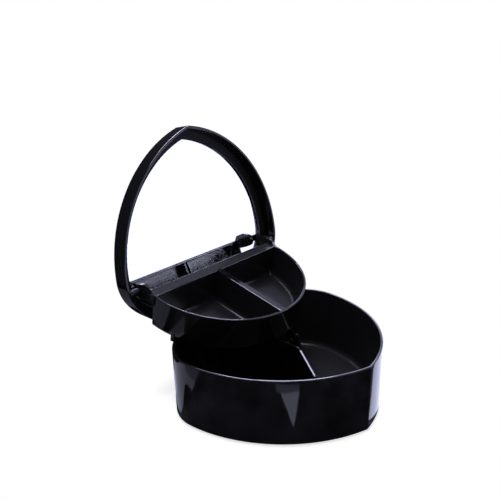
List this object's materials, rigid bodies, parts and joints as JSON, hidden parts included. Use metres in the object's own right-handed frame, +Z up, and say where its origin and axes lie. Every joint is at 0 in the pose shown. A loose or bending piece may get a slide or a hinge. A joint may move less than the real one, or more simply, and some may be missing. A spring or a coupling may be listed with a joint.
{
  "type": "vanity mirror box with swing tray",
  "caption": "Black table mirror box: a deep bowl with a pointed front, a half-round tray on swinging arms, and an arched lid with a mirror that closes over the bowl.",
  "frame": {"origin": "on the table, in the middle of the whole in the pose of use, tray raised and mirror upright", "axes": "+X to the right of the person who looks at the mirror from behind it, +Y from the pointed front towards the mirror, +Z up"},
  "size_m": [0.18, 0.2072, 0.2169],
  "materials": {
    "gloss_black": "polished injection moulding",
    "satin_black": "satin injection moulding",
    "mirror": "silvered float glass",
    "foam_tape": "double-sided foam tape",
    "rubber": "matt",
    "steel": "drawn wire"
  },
  "bodies": {
    "base": {"bowl": "gloss_black", "rubber_feet": "rubber", "arm_pin_lower_right": "steel", "arm_pin_lower_left": "steel"},
    "arm_right": {"arm_right": "satin_black"},
    "arm_left": {"arm_left": "satin_black"},
    "tray": {"tray": "gloss_black", "arm_pin_upper_right": "steel", "arm_pin_upper_left": "steel", "hinge_pin_right": "steel", "hinge_pin_left": "steel"},
    "lid": {"lid_shell": "gloss_black", "mirror_bezel": "gloss_black", "mirror_glass": "mirror", "mirror_tape": "foam_tape"}
  },
  "joints": [
    {"name": "arm_right", "type": "hinge", "parent": "base", "child": "arm_right", "pos_m": [0, 0.02066, 0.021], "axis": [1, 0, 0], "range_deg": [0, 104.12]},
    {"name": "tray_on_arm", "type": "hinge", "parent": "arm_right", "child": "tray", "pos_m": [0, 0.04329, 0.05917], "axis": [1, 0, 0], "range_deg": [-116.88, 0]},
    {"name": "arm_left", "type": "hinge", "parent": "base", "child": "arm_left", "pos_m": [0, 0.02066, 0.021], "axis": [1, 0, 0], "range_deg": [0, 104.17]},
    {"name": "lid", "type": "hinge", "parent": "tray", "child": "lid", "pos_m": [0, 0.07537, 0.0964], "axis": [1, 0, 0], "range_deg": [0, 110.35]}
  ],
  "couplings": [
    {"joint": "tray_on_arm", "follows": "arm_right", "ratio": -1.122},
    {"joint": "arm_left", "follows": "arm_right", "ratio": 1},
    {"joint": "lid", "follows": "arm_right", "ratio": 1.0593}
  ]
}
